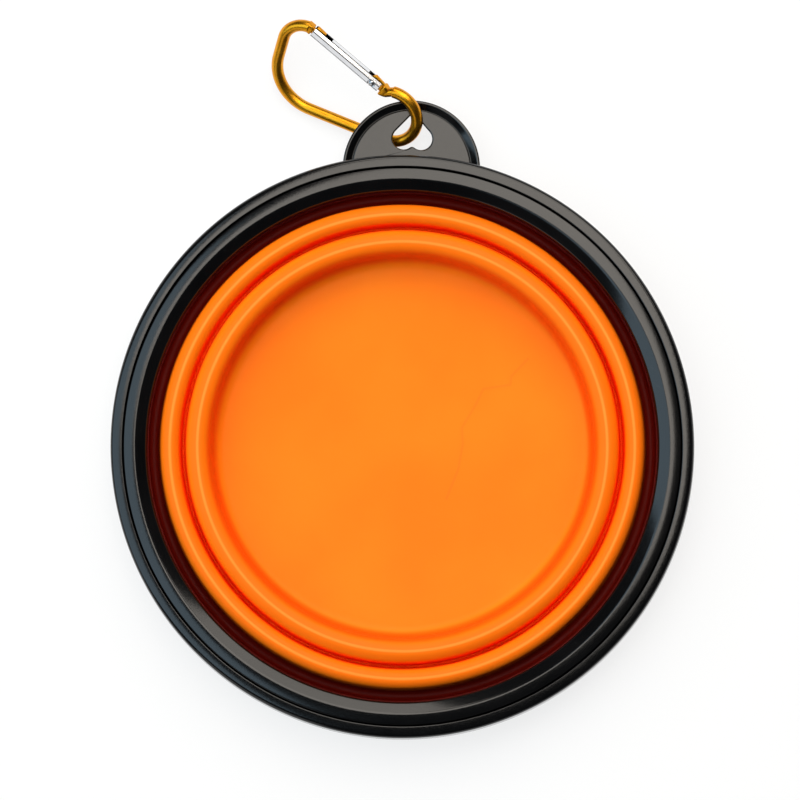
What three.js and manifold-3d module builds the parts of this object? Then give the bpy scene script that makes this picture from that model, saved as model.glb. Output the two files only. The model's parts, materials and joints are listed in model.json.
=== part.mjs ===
// Collapsible travel bowl, folded flat, with a small carabiner clipped through its hang tab.
// Millimetres, +Z up. The origin is the middle of the underside of the base; the tab points along +Y.
import * as THREE from 'three';
import { mergeVertices } from 'three/addons/utils/BufferGeometryUtils.js';
import Module from 'manifold-3d';

const wasm = await Module();
wasm.setup();

// Bellows, from the floor outwards: one soft moulding, thick in its bands and thin in its webs
const floorRadius = 42.1;
const floorThickness = 2.6;
const floorFillet = 1.2;
const baseFillet = 1.0;
const lowerCrestStep = 3.3;
const grooveStep = 3.4;
const upperCrestStep = 2.7;
const recessStep = 3.8;
const lowerRoll = 2.5;
const upperRoll = 2.0;
const grooveHalf = 0.3;
const recessHalf = 1.1;
const bandThickness = 1.7;
const webThickness = 1.2;
const crestHeight = 12.4;
const crestRise = 2.4;
const crestThickness = 1.6;
const valleyLift = 0.7;
const valleyRise = 1.7;
const valleyThickness = 1.5;
const zoneGap = 0.1;
const flangeThickness = 1.5;

// Rim: a carrier ring with the hang tab, and a clamp ring that presses the bellows' flange into it
const rimLift = 1.0;
const lipThickness = 1.8;
const clampWidth = 5.0;
const bevelWidth = 2.8;
const bevelDrop = 1.5;
const carrierWidth = 3.1;
const carrierDraft = 0.5;
const rimStand = 0.8;
const rimFall = 0.25;
const rimRound = 0.9;
const seamChamfer = 0.3;
const snapHeight = 0.4;
const snapLevel = 7.6;
const fitGap = 0.3;

// Hang tab and its heart-shaped hole, whose tip points away from the bowl
const tabRadius = 15.3;
const tabInset = 3.3;
const tabLevel = 7.0;
const tabThickness = 1.2;
const beadWidth = 2.0;
const beadThickness = 2.2;
const beadChamfer = 0.4;
const lobeRadius = 2.5;
const lobeSpacing = 4.0;
const lobeDrop = 5.7;
const tipMargin = 2.8;

// Carabiner body, a bent rod drawn in its own plane with the spine along X
const rodDiameter = 2.7;
const spineLength = 18.2;
const narrowRadius = 6.25;
const narrowEnd = THREE.MathUtils.degToRad(112);
const cornerRadius = 9.9;
const sideLength = 5.1;
const topRadius = 5.0;
const rivetAlong = 6.0;
const rivetAcross = 13.2;
const neckDiameter = 2.0;
const shoulderLength = 1.0;
const tangThickness = 0.9;
const tangWidth = 2.3;
const tangReach = 1.0;
const tangStand = 0.5;
const tangChamfer = 0.4;
const tongueThickness = 1.0;
const tongueDepth = 3.9;
const tongueHeight = 1.4;
const lugLength = 2.4;
const lugStand = 0.3;

// Gate, with its rivet, plunger and return spring
const gateSize = 2.6;
const gateChamfer = 0.5;
const gateTail = 2.0;
const noseGap = 1.2;
const forkDepth = 1.9;
const slotDepth = 4.6;
const slotFloor = 0.6;
const sideClearance = 0.15;
const rivetDiameter = 1.0;
const rivetHeadDiameter = 1.7;
const rivetHeadHeight = 0.35;
const rivetHeadGap = 0.1;
const boreDiameter = 1.4;
const boreDepth = 7.5;
const plungerLength = 2.6;
const springWire = 0.22;
const springTurns = 6;

// How the carabiner lies: a point of its narrow bend sits in the hole, and the rest leans on the tab
const hangAngle = THREE.MathUtils.degToRad(-20.5);
const hangSide = -0.1;
const hangDrop = 4.6;
const heading = THREE.MathUtils.degToRad(-20.7);
const pitch = THREE.MathUtils.degToRad(7);
const roll = THREE.MathUtils.degToRad(36.5);

// Facets
const roundSegments = 48;
const arcSteps = 1.5;
const tabSegments = 48;
const rodSides = 10;
const rodSteps = 66;
const pinSegments = 16;
const springSides = 5;
const springStepsPerTurn = 10;
const weldDistance = 1e-4;
const cutMargin = 1.0;

// Radii and heights that follow from the sizes above
const lowerCrest = floorRadius + lowerCrestStep;
const groove = lowerCrest + grooveStep;
const upperCrest = groove + upperCrestStep;
const recess = upperCrest + recessStep;
const clampInner = recess + recessHalf + fitGap;
const clampOuter = clampInner + clampWidth;
const carrierInner = clampOuter + fitGap;
const rimRadius = carrierInner + carrierWidth;
const crestSpring = crestHeight - crestRise;
const valleySpring = valleyLift + valleyRise;
const lipTop = rimLift + lipThickness;
const flangeBottom = lipTop + fitGap;
const flangeTop = flangeBottom + flangeThickness;
const clampBottom = flangeTop + fitGap;
const rimTop = crestHeight + rimStand;
const seamTop = rimTop - rimFall;
const tabCentre = rimRadius - tabInset;
const tipReach = tabRadius - tipMargin;
const lobeReach = tipReach - lobeDrop;
const rodRadius = rodDiameter / 2;
const gateHalf = gateSize / 2;

const rubber = (color) => new THREE.MeshStandardMaterial({ color, roughness: 0.55, metalness: 0 });
const plastic = () => new THREE.MeshStandardMaterial({ color: 0x121315, roughness: 0.32, metalness: 0 });
const gold = () => new THREE.MeshStandardMaterial({ color: 0xd98f12, roughness: 0.28, metalness: 1 });
const silver = () => new THREE.MeshStandardMaterial({ color: 0xdfe1e4, roughness: 0.25, metalness: 1 });
const steel = () => new THREE.MeshStandardMaterial({ color: 0xb9bcc0, roughness: 0.3, metalness: 1 });

function toSolid(geometry) {
  const bare = geometry.clone();
  bare.deleteAttribute('normal');
  bare.deleteAttribute('uv');
  const merged = mergeVertices(bare, weldDistance);
  return new wasm.Manifold(new wasm.Mesh({
    numProp: 3,
    vertProperties: Float32Array.from(merged.attributes.position.array),
    triVerts: Uint32Array.from(merged.index.array),
  }));
}

function toGeometry(solid) {
  const mesh = solid.getMesh();
  const geometry = new THREE.BufferGeometry();
  geometry.setAttribute('position', new THREE.BufferAttribute(mesh.vertProperties, 3));
  geometry.setIndex(new THREE.BufferAttribute(mesh.triVerts, 1));
  geometry.computeVertexNormals();
  return geometry;
}

// A section in the plane of radius and height, drawn anticlockwise and turned about Z
function revolve(section, segments = roundSegments) {
  const geometry = new THREE.LatheGeometry(section.getPoints(arcSteps), segments);
  return geometry.rotateX(Math.PI / 2);
}

// A cylinder along X from one place to another
function pinAlongX(diameter, from, to, segments = pinSegments) {
  const geometry = new THREE.CylinderGeometry(diameter / 2, diameter / 2, to - from, segments);
  return geometry.rotateZ(-Math.PI / 2).translate((from + to) / 2, 0, 0);
}

function pinAlongZ(diameter, length) {
  return new THREE.CylinderGeometry(diameter / 2, diameter / 2, length, pinSegments).rotateX(Math.PI / 2);
}

function boxBetween(low, high) {
  const size = new THREE.Vector3().subVectors(high, low);
  const middle = new THREE.Vector3().addVectors(low, high).multiplyScalar(0.5);
  return new THREE.BoxGeometry(size.x, size.y, size.z).translate(middle.x, middle.y, middle.z);
}

// A flat outline given thickness, centred on its own plane
function plate(shape, thickness, curveSegments = arcSteps) {
  const geometry = new THREE.ExtrudeGeometry(shape, { depth: thickness, bevelEnabled: false, curveSegments });
  return geometry.translate(0, 0, -thickness / 2);
}

function namedMesh(name, geometry, material) {
  const mesh = new THREE.Mesh(geometry, material);
  mesh.name = name;
  return mesh;
}

// Floor, base wall and the inner half of the lower crest
function baseCup() {
  const end = lowerCrest - zoneGap / 2;
  const wetTop = lowerCrest - lowerRoll;
  const dryTop = wetTop + bandThickness;
  const dryBottom = floorRadius + bandThickness;
  const s = new THREE.Shape();
  s.moveTo(0, 0);
  s.lineTo(dryBottom - baseFillet, 0);
  s.absarc(dryBottom - baseFillet, baseFillet, baseFillet, -Math.PI / 2, 0, false);
  s.lineTo(dryTop, crestSpring);
  s.absellipse(end, crestSpring, end - dryTop, crestRise - crestThickness, Math.PI, Math.PI / 2, true);
  s.lineTo(end, crestHeight);
  s.absellipse(end, crestSpring, end - wetTop, crestRise, Math.PI / 2, Math.PI, false);
  s.absarc(floorRadius - floorFillet, floorThickness + floorFillet, floorFillet, 0, -Math.PI / 2, true);
  s.lineTo(0, floorThickness);
  return revolve(s);
}

// A thin web that falls from a crest to the valley outside it
function web(crest, roll, valley, valleyHalf) {
  const start = crest + zoneGap / 2;
  const end = valley - zoneGap / 2;
  const wetTop = crest + roll;
  const wetBottom = valley - valleyHalf;
  const dryTop = wetTop - webThickness;
  const dryBottom = wetBottom - webThickness;
  const wetFloor = valleyLift + valleyThickness;
  const s = new THREE.Shape();
  s.moveTo(end, valleyLift);
  s.lineTo(end, wetFloor);
  s.absellipse(end, wetFloor + valleyHalf, end - wetBottom, valleyHalf, -Math.PI / 2, -Math.PI, true);
  s.absellipse(start, crestSpring, wetTop - start, crestRise, 0, Math.PI / 2, false);
  s.lineTo(start, crestHeight - crestThickness);
  s.absellipse(start, crestSpring, dryTop - start, crestRise - crestThickness, Math.PI / 2, 0, true);
  s.absellipse(end, valleySpring, end - dryBottom, valleyRise, Math.PI, 1.5 * Math.PI, false);
  s.closePath();
  return revolve(s);
}

// The thick band between the two folds, from the groove up to the upper crest
function middleBand() {
  const start = groove + zoneGap / 2;
  const end = upperCrest - zoneGap / 2;
  const wetBottom = groove + grooveHalf;
  const wetTop = upperCrest - upperRoll;
  const dryBottom = wetBottom + bandThickness;
  const dryTop = wetTop + bandThickness;
  const wetFloor = valleyLift + valleyThickness;
  const s = new THREE.Shape();
  s.moveTo(start, valleyLift);
  s.absellipse(start, valleySpring, dryBottom - start, valleyRise, -Math.PI / 2, 0, false);
  s.absellipse(end, crestSpring, end - dryTop, crestRise - crestThickness, Math.PI, Math.PI / 2, true);
  s.lineTo(end, crestHeight);
  s.absellipse(end, crestSpring, end - wetTop, crestRise, Math.PI / 2, Math.PI, false);
  s.absellipse(start, wetFloor + grooveHalf, wetBottom - start, grooveHalf, 0, -Math.PI / 2, true);
  s.closePath();
  return revolve(s);
}

// The last stretch of the bellows, ending in the flange that the rim holds
function upperBand() {
  const start = recess + zoneGap / 2;
  const wet = recess + recessHalf;
  const dry = wet + webThickness;
  const flangeRadius = carrierInner - fitGap;
  const wetFloor = valleyLift + valleyThickness;
  const s = new THREE.Shape();
  s.moveTo(start, valleyLift);
  s.absellipse(start, valleySpring, dry - start, valleyRise, -Math.PI / 2, 0, false);
  s.lineTo(dry, flangeBottom);
  s.lineTo(flangeRadius, flangeBottom);
  s.lineTo(flangeRadius, flangeTop);
  s.lineTo(wet, flangeTop);
  s.absellipse(start, wetFloor + recessHalf, wet - start, recessHalf, 0, -Math.PI / 2, true);
  s.closePath();
  return revolve(s);
}

// Clamp ring: its bevelled inner edge is the black slope round the bowl, and a rib snaps into the carrier
function clampRing() {
  const s = new THREE.Shape();
  s.moveTo(clampInner, clampBottom);
  s.lineTo(clampOuter, clampBottom);
  s.lineTo(clampOuter, snapLevel - 2 * snapHeight);
  s.lineTo(clampOuter + snapHeight, snapLevel);
  s.lineTo(clampOuter, snapLevel + snapHeight);
  s.lineTo(clampOuter, seamTop - seamChamfer);
  s.lineTo(clampOuter - seamChamfer, seamTop);
  s.lineTo(clampInner + bevelWidth, rimTop);
  s.lineTo(clampInner, rimTop - bevelDrop);
  s.closePath();
  return revolve(s);
}

function carrierSection() {
  const lipInner = recess + recessHalf + webThickness + fitGap;
  const topRadiusOuter = rimRadius - carrierDraft;
  const outerTop = seamTop - rimFall;
  const s = new THREE.Shape();
  s.moveTo(lipInner, rimLift);
  s.lineTo(rimRadius - seamChamfer, rimLift);
  s.lineTo(rimRadius, rimLift + seamChamfer);
  s.absarc(topRadiusOuter - rimRound, outerTop - rimRound, rimRound, 0, Math.PI / 2, false);
  s.lineTo(carrierInner + seamChamfer, seamTop);
  s.lineTo(carrierInner, seamTop - seamChamfer);
  s.lineTo(carrierInner, snapLevel + snapHeight);
  s.lineTo(carrierInner + snapHeight, snapLevel);
  s.lineTo(carrierInner, snapLevel - 2 * snapHeight);
  s.lineTo(carrierInner, lipTop);
  s.lineTo(lipInner, lipTop);
  s.closePath();
  return s;
}

// Two round lobes towards the bowl, and straight sides that meet at the tip
function heartShape() {
  const half = lobeSpacing / 2;
  const toTip = Math.hypot(half, tipReach - lobeReach);
  const tangent = Math.atan2(tipReach - lobeReach, -half) - Math.acos(lobeRadius / toTip);
  const notch = Math.acos(half / lobeRadius);
  const s = new THREE.Shape();
  s.moveTo(0, tipReach);
  s.lineTo(-half - lobeRadius * Math.cos(tangent), lobeReach + lobeRadius * Math.sin(tangent));
  s.absarc(-half, lobeReach, lobeRadius, Math.PI - tangent, 2 * Math.PI - notch, false);
  s.absarc(half, lobeReach, lobeRadius, Math.PI + notch, 2 * Math.PI + tangent, false);
  s.closePath();
  return s;
}

// Carrier ring with the tab: a thin web inside a raised border, cut by the heart
function carrierRing() {
  const bead = new THREE.Shape();
  const beadInner = tabRadius - beadWidth;
  const beadHalf = beadThickness / 2;
  bead.moveTo(beadInner, -beadHalf + beadChamfer);
  bead.lineTo(beadInner + beadChamfer, -beadHalf);
  bead.lineTo(tabRadius - beadChamfer, -beadHalf);
  bead.lineTo(tabRadius, -beadHalf + beadChamfer);
  bead.lineTo(tabRadius, beadHalf - beadChamfer);
  bead.lineTo(tabRadius - beadChamfer, beadHalf);
  bead.lineTo(beadInner + beadChamfer, beadHalf);
  bead.lineTo(beadInner, beadHalf - beadChamfer);
  bead.closePath();
  const tabDisc = new THREE.Shape().absarc(0, 0, tabRadius - beadWidth / 2, 0, 2 * Math.PI, false);
  const border = toSolid(revolve(bead, tabSegments));
  const disc = toSolid(plate(tabDisc, tabThickness, tabSegments / 2));
  const hole = toSolid(plate(heartShape(), beadThickness + cutMargin, 8));
  const bowlCut = new THREE.Shape().absarc(0, -tabCentre, rimRadius - carrierWidth / 2, 0, 2 * Math.PI, false);
  const bowl = toSolid(plate(bowlCut, beadThickness + cutMargin, roundSegments / 2));
  const tab = border.add(disc).subtract(hole).subtract(bowl).translate([0, tabCentre, tabLevel]);
  return toGeometry(toSolid(revolve(carrierSection())).add(tab));
}

// An arc in the XY plane as a curve in space
class PlanarArc extends THREE.Curve {
  constructor(centre, radius, from, to) {
    super();
    Object.assign(this, { centre, radius, from, to });
  }

  getPoint(t, target = new THREE.Vector3()) {
    const angle = this.from + (this.to - this.from) * t;
    const x = this.centre.x + this.radius * Math.cos(angle);
    const y = this.centre.y + this.radius * Math.sin(angle);
    return target.set(x, y, 0);
  }
}

// Plan of the carabiner: the spine's middle is the origin, and the gate side is towards +Y
const narrowCentre = new THREE.Vector3(spineLength / 2, narrowRadius, 0);
const cornerCentre = new THREE.Vector3(-spineLength / 2, cornerRadius, 0);
const sideX = cornerCentre.x - cornerRadius;
const topCentre = new THREE.Vector3(sideX + topRadius, cornerRadius + sideLength, 0);
const nose = new THREE.Vector3(topCentre.x, topCentre.y + topRadius, 0);
const rivetPlace = new THREE.Vector3(narrowCentre.x - rivetAlong, rivetAcross, 0);
const gateSpan = nose.distanceTo(rivetPlace);
const gateAngle = Math.atan2(nose.y - rivetPlace.y, nose.x - rivetPlace.x);
const gateLength = gateSpan - noseGap;
const shoulderPlace = -Math.hypot(gateTail, gateHalf) - sideClearance;

// Turns a geometry drawn in the gate's frame, X from the rivet to the nose and +Y inwards, into the body's
const fromGateFrame = (geometry) => geometry.rotateZ(gateAngle).translate(rivetPlace.x, rivetPlace.y, 0);

function rodPath() {
  const path = new THREE.CurvePath();
  path.add(new PlanarArc(narrowCentre, narrowRadius, narrowEnd, -Math.PI / 2));
  path.add(new THREE.LineCurve3(
    new THREE.Vector3(narrowCentre.x, 0, 0), new THREE.Vector3(cornerCentre.x, 0, 0)));
  path.add(new PlanarArc(cornerCentre, cornerRadius, 1.5 * Math.PI, Math.PI));
  path.add(new THREE.LineCurve3(
    new THREE.Vector3(sideX, cornerCentre.y, 0), new THREE.Vector3(sideX, topCentre.y, 0)));
  path.add(new PlanarArc(topCentre, topRadius, Math.PI, Math.PI / 2));
  return path;
}

// Flat tang that carries the rivet. Its square end is the cam that the plunger presses on, and its
// back stands proud of the gate and meets the end of the fork, which stops the gate from opening outwards
function tangShape() {
  const half = tangWidth / 2;
  const back = -gateHalf - tangStand;
  const stop = forkDepth - fitGap;
  const stopEdge = -boreDiameter / 2 - sideClearance;
  const s = new THREE.Shape();
  s.moveTo(shoulderPlace - shoulderLength / 2, back);
  s.lineTo(stop - tangChamfer, back);
  s.lineTo(stop, back + tangChamfer);
  s.lineTo(stop, stopEdge);
  s.lineTo(tangReach, stopEdge);
  s.lineTo(tangReach, half - tangChamfer);
  s.lineTo(tangReach - tangChamfer, half);
  s.lineTo(shoulderPlace - shoulderLength / 2, half);
  s.closePath();
  const hole = new THREE.Path().absarc(0, 0, rivetDiameter / 2 + sideClearance, 0, 2 * Math.PI, true);
  s.holes.push(hole);
  return s;
}

// Flat tongue at the nose, with a lug at its tip that stands proud of the gate's back
function tongueShape() {
  const tip = gateLength - tongueDepth;
  const inner = gateHalf - slotFloor - fitGap;
  const outer = inner - tongueHeight;
  const s = new THREE.Shape();
  s.moveTo(tip, inner);
  s.lineTo(tip, -gateHalf - lugStand);
  s.lineTo(tip + lugLength, -gateHalf - lugStand);
  s.lineTo(tip + lugLength + lugStand, outer);
  s.lineTo(gateSpan + rodRadius / 2, outer);
  s.lineTo(gateSpan + rodRadius / 2, inner);
  s.closePath();
  return s;
}

// Rod, rounded neck, shoulder, tang and tongue in one piece
function carabinerBody() {
  const circle = new THREE.Shape().absarc(0, 0, rodRadius, 0, 2 * Math.PI, false);
  const rod = new THREE.ExtrudeGeometry(circle, {
    steps: rodSteps, extrudePath: rodPath(), curveSegments: rodSides / 2, bevelEnabled: false,
  });
  const rodEnd = new PlanarArc(narrowCentre, narrowRadius, narrowEnd, narrowEnd).getPoint(0);
  const cap = new THREE.SphereGeometry(rodRadius, rodSides + 2, rodSides).translate(rodEnd.x, rodEnd.y, 0);
  const shoulderMiddle = new THREE.Vector3(shoulderPlace - shoulderLength / 2, 0, 0);
  shoulderMiddle.applyAxisAngle(new THREE.Vector3(0, 0, 1), gateAngle).add(rivetPlace);
  const neckRun = new THREE.Vector3().subVectors(shoulderMiddle, rodEnd);
  const neck = pinAlongX(neckDiameter, 0, neckRun.length(), rodSides);
  neck.rotateZ(Math.atan2(neckRun.y, neckRun.x)).translate(rodEnd.x, rodEnd.y, 0);
  const shoulder = fromGateFrame(gateBar(shoulderPlace - shoulderLength, shoulderPlace));
  const tang = fromGateFrame(plate(tangShape(), tangThickness, pinSegments / 2));
  const tongue = fromGateFrame(plate(tongueShape(), tongueThickness));
  const parts = [cap, neck, shoulder, tang, tongue].map(toSolid);
  return toGeometry(parts.reduce((sum, part) => sum.add(part), toSolid(rod)));
}

// A square bar with chamfered edges along X
function gateBar(from, to) {
  const flat = gateHalf - gateChamfer;
  const s = new THREE.Shape();
  s.moveTo(flat, -gateHalf);
  s.lineTo(gateHalf, -flat);
  s.lineTo(gateHalf, flat);
  s.lineTo(flat, gateHalf);
  s.lineTo(-flat, gateHalf);
  s.lineTo(-gateHalf, flat);
  s.lineTo(-gateHalf, -flat);
  s.lineTo(-flat, -gateHalf);
  s.closePath();
  const bar = new THREE.ExtrudeGeometry(s, { depth: to - from, bevelEnabled: false });
  return bar.rotateY(Math.PI / 2).translate(from, 0, 0);
}

// Gate: forked for the tang, bored for the spring, and slotted for the tongue through its end and back
function gate() {
  const forkHalf = tangThickness / 2 + sideClearance;
  const slotHalf = tongueThickness / 2 + sideClearance;
  const fork = boxBetween(
    new THREE.Vector3(-gateTail - cutMargin, -gateSize, -forkHalf),
    new THREE.Vector3(forkDepth, gateSize, forkHalf));
  const slot = boxBetween(
    new THREE.Vector3(gateLength - slotDepth, -gateSize, -slotHalf),
    new THREE.Vector3(gateLength + cutMargin, gateHalf - slotFloor, slotHalf));
  const bore = pinAlongX(boreDiameter, forkDepth - fitGap, forkDepth + boreDepth);
  const rivetHole = pinAlongZ(rivetDiameter + 2 * sideClearance, gateSize + cutMargin);
  const cuts = [fork, slot, bore, rivetHole].map(toSolid);
  return toGeometry(cuts.reduce((bar, cut) => bar.subtract(cut), toSolid(gateBar(-gateTail, gateLength))));
}

// Rivet with a domed head on each side of the gate
function rivet() {
  const seat = gateHalf + rivetHeadGap;
  const shank = rivetDiameter / 2;
  const head = rivetHeadDiameter / 2;
  const s = new THREE.Shape();
  s.moveTo(0, -seat - rivetHeadHeight);
  s.absellipse(0, -seat, head, rivetHeadHeight, -Math.PI / 2, 0, false);
  s.lineTo(shank, -seat);
  s.lineTo(shank, seat);
  s.lineTo(head, seat);
  s.absellipse(0, seat, head, rivetHeadHeight, 0, Math.PI / 2, false);
  return revolve(s, pinSegments);
}

// Plunger between the spring and the tang's cam, with a round tip
function plunger() {
  const radius = boreDiameter / 2 - sideClearance;
  const tip = tangReach + fitGap;
  const s = new THREE.Shape();
  s.moveTo(0, tip);
  s.absellipse(0, tip + radius / 2, radius, radius / 2, -Math.PI / 2, 0, false);
  s.lineTo(radius, tip + plungerLength);
  s.lineTo(0, tip + plungerLength);
  return revolve(s, pinSegments).rotateY(Math.PI / 2);
}

// Coil of the return spring along X
class Helix extends THREE.Curve {
  constructor(radius, from, to, turns) {
    super();
    Object.assign(this, { radius, from, to, turns });
  }

  getPoint(t, target = new THREE.Vector3()) {
    const angle = 2 * Math.PI * this.turns * t;
    const y = this.radius * Math.cos(angle);
    const z = this.radius * Math.sin(angle);
    return target.set(this.from + (this.to - this.from) * t, y, z);
  }
}

function spring() {
  const wireRadius = springWire / 2;
  const coilRadius = boreDiameter / 2 - sideClearance - wireRadius;
  const from = tangReach + fitGap + plungerLength + sideClearance + wireRadius;
  const to = forkDepth + boreDepth - sideClearance - wireRadius;
  const coil = new Helix(coilRadius, from, to, springTurns);
  const wire = new THREE.Shape().absarc(0, 0, wireRadius, 0, 2 * Math.PI, false);
  const points = wire.getSpacedPoints(springSides).slice(0, springSides);
  return new THREE.ExtrudeGeometry(new THREE.Shape(points), {
    steps: springTurns * springStepsPerTurn, extrudePath: coil, bevelEnabled: false,
  });
}

const bowl = new THREE.Group();
bowl.add(namedMesh('base_cup', baseCup(), rubber(0xff8a26)));
bowl.add(namedMesh('lower_web', web(lowerCrest, lowerRoll, groove, grooveHalf), rubber(0xff7d14)));
bowl.add(namedMesh('middle_band', middleBand(), rubber(0xff8a26)));
bowl.add(namedMesh('upper_web', web(upperCrest, upperRoll, recess, recessHalf), rubber(0xff7d14)));
bowl.add(namedMesh('upper_band', upperBand(), rubber(0xff8a26)));
bowl.add(namedMesh('rim_clamp_ring', clampRing(), plastic()));
bowl.add(namedMesh('rim_carrier_ring', carrierRing(), plastic()));

const gateGroup = new THREE.Group();
gateGroup.position.copy(rivetPlace);
gateGroup.rotation.z = gateAngle;
gateGroup.add(namedMesh('carabiner_gate', gate(), silver()));
gateGroup.add(namedMesh('hinge_rivet', rivet(), steel()));
gateGroup.add(namedMesh('spring_plunger', plunger(), steel()));
gateGroup.add(namedMesh('gate_spring', spring(), steel()));

const carabiner = new THREE.Group();
carabiner.rotation.set(roll, -pitch, heading, 'ZYX');
const hangPoint = new PlanarArc(narrowCentre, narrowRadius, hangAngle, hangAngle).getPoint(0);
const holeSeat = new THREE.Vector3(hangSide, tabCentre + tipReach - hangDrop, tabLevel);
carabiner.position.copy(holeSeat).sub(hangPoint.applyEuler(carabiner.rotation));
carabiner.add(namedMesh('carabiner_body', carabinerBody(), gold()));
carabiner.add(gateGroup);

const part = new THREE.Group();
part.add(bowl);
part.add(carabiner);

export default part;
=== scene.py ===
# Folding travel bowl with a small carabiner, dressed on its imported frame
import json
import math

import bmesh
import bpy
from mathutils import Matrix, Vector


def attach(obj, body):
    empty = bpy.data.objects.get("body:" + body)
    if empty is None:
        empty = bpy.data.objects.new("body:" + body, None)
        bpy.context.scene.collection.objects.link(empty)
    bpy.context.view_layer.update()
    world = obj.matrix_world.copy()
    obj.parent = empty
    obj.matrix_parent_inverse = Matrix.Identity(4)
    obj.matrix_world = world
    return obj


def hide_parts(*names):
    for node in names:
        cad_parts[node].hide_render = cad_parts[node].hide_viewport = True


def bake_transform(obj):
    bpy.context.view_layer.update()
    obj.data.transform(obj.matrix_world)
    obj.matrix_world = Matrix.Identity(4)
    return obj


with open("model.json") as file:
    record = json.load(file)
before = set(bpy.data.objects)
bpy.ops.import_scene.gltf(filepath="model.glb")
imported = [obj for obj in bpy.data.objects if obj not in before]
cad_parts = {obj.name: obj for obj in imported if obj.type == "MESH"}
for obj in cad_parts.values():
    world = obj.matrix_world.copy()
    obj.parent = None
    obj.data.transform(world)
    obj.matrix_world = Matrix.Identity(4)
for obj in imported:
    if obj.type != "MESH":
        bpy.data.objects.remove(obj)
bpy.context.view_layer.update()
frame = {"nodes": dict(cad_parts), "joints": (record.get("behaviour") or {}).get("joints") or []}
mm = 0.001
tiny = 1e-7  # metres: points nearer than this are one
upAxis = Vector((0, 0, 1))
joints = {joint["name"]: joint for joint in frame["joints"]}


# Shared mesh helpers

def onlyVerts(geom):
    return [g for g in geom if isinstance(g, bmesh.types.BMVert)]


def onlyEdges(geom):
    return [g for g in geom if isinstance(g, bmesh.types.BMEdge)]


def finishPiece(name, bm, sharpAngle=38):
    bmesh.ops.remove_doubles(bm, verts=bm.verts, dist=tiny)
    bmesh.ops.recalc_face_normals(bm, faces=bm.faces)
    mesh = bpy.data.meshes.new(name)
    bm.to_mesh(mesh)
    bm.free()
    mesh.shade_smooth()
    mesh.set_sharp_from_angle(angle=math.radians(sharpAngle))
    piece = bpy.data.objects.new(name, mesh)
    bpy.context.scene.collection.objects.link(piece)
    return piece


def bevelEdges(bm, edges, width, segments):
    return bmesh.ops.bevel(bm, geom=edges, offset=width * mm, offset_type="OFFSET", segments=segments,
                           profile=0.5, affect="EDGES", material=-1, clamp_overlap=True)


def splitPlane(bm, point, normal, clear):
    bmesh.ops.bisect_plane(bm, geom=bm.verts[:] + bm.edges[:] + bm.faces[:], dist=tiny,
                           plane_co=Vector(point) * mm, plane_no=normal, clear_outer=clear)


# A flat shape made solid between two heights
def raiseFaces(bm, low, high):
    bmesh.ops.translate(bm, verts=bm.verts, vec=(0, 0, low * mm))
    made = bmesh.ops.extrude_face_region(bm, geom=bm.faces[:], use_keep_orig=True)["geom"]
    bmesh.ops.translate(bm, verts=onlyVerts(made), vec=(0, 0, (high - low) * mm))


def addBox(bm, size, centre):
    made = bmesh.ops.create_cube(bm, size=1.0)["verts"]
    bmesh.ops.scale(bm, verts=made, vec=Vector(size) * mm)
    bmesh.ops.translate(bm, verts=made, vec=Vector(centre) * mm)
    return made


# A piece with other shapes cut out of it, then its edges softened
carving = {"bevelAngle": 30, "flatArea": 0.4}  # degrees, and square mm past which a face is a flat


def carve(name, bm, cutters, softness, segments, sharpAngle):
    piece = finishPiece(name, bm)
    tools = [finishPiece("cutter%d" % index, cutter) for index, cutter in enumerate(cutters)]
    for tool in tools:
        cut = piece.modifiers.new("cut", "BOOLEAN")
        cut.operation = "DIFFERENCE"
        cut.solver = "EXACT"
        cut.object = tool
    soften = piece.modifiers.new("soften", "BEVEL")
    soften.width = softness * mm
    soften.segments = segments
    soften.use_clamp_overlap = False
    soften.limit_method = "ANGLE"
    soften.angle_limit = math.radians(carving["bevelAngle"])
    bpy.context.view_layer.update()
    shaped = bpy.data.meshes.new_from_object(piece.evaluated_get(bpy.context.evaluated_depsgraph_get()))
    piece.modifiers.clear()
    piece.data = shaped
    for tool in tools:
        bpy.data.objects.remove(tool)
    shaped.shade_smooth()
    shaped.set_sharp_from_angle(angle=math.radians(sharpAngle))
    for face in shaped.polygons:
        face.use_smooth = face.area < carving["flatArea"] * mm * mm
    return piece


# A chain of corners (radius, height, rounding in mm), each corner rounded, turned about the upright axis
def turnSection(bm, corners, closed, steps, segments=8):
    verts = [bm.verts.new((r * mm, 0, z * mm)) for r, z, rounding in corners]
    pairs = list(zip(verts, verts[1:]))
    if closed:
        pairs.append((verts[-1], verts[0]))
    for a, b in pairs:
        bm.edges.new((a, b))
    for vert, (r, z, rounding) in zip(verts, corners):
        if rounding:
            bmesh.ops.bevel(bm, geom=[vert], offset=rounding * mm, offset_type="OFFSET", segments=segments,
                            profile=0.5, affect="VERTICES", material=-1, clamp_overlap=True)
    bmesh.ops.spin(bm, geom=bm.verts[:] + bm.edges[:], cent=(0, 0, 0), axis=(0, 0, 1), dvec=(0, 0, 0),
                   angle=2 * math.pi, steps=steps, use_merge=True)


def turnedPiece(name, corners, closed=True, steps=288):
    bm = bmesh.new()
    turnSection(bm, corners, closed, steps)
    return finishPiece(name, bm)


def dress(piece, material, slotName, *nodes):
    piece.data.materials.clear()
    piece.data.materials.append(material)
    if nodes:
        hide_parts(*nodes)
    return piece


# Shader helpers

def addNode(tree, kind, **values):
    node = tree.nodes.new(kind)
    for key, value in values.items():
        setattr(node, key, value)
    return node


# A socket takes a link from another node, or a plain value
def feed(tree, socket, setting):
    if hasattr(setting, "is_output"):
        tree.links.new(setting, socket)
    else:
        socket.default_value = setting


def maths(tree, operation, *settings):
    node = addNode(tree, "ShaderNodeMath", operation=operation)
    for socket, setting in zip(node.inputs, settings):
        feed(tree, socket, setting)
    return node.outputs[0]


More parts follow.
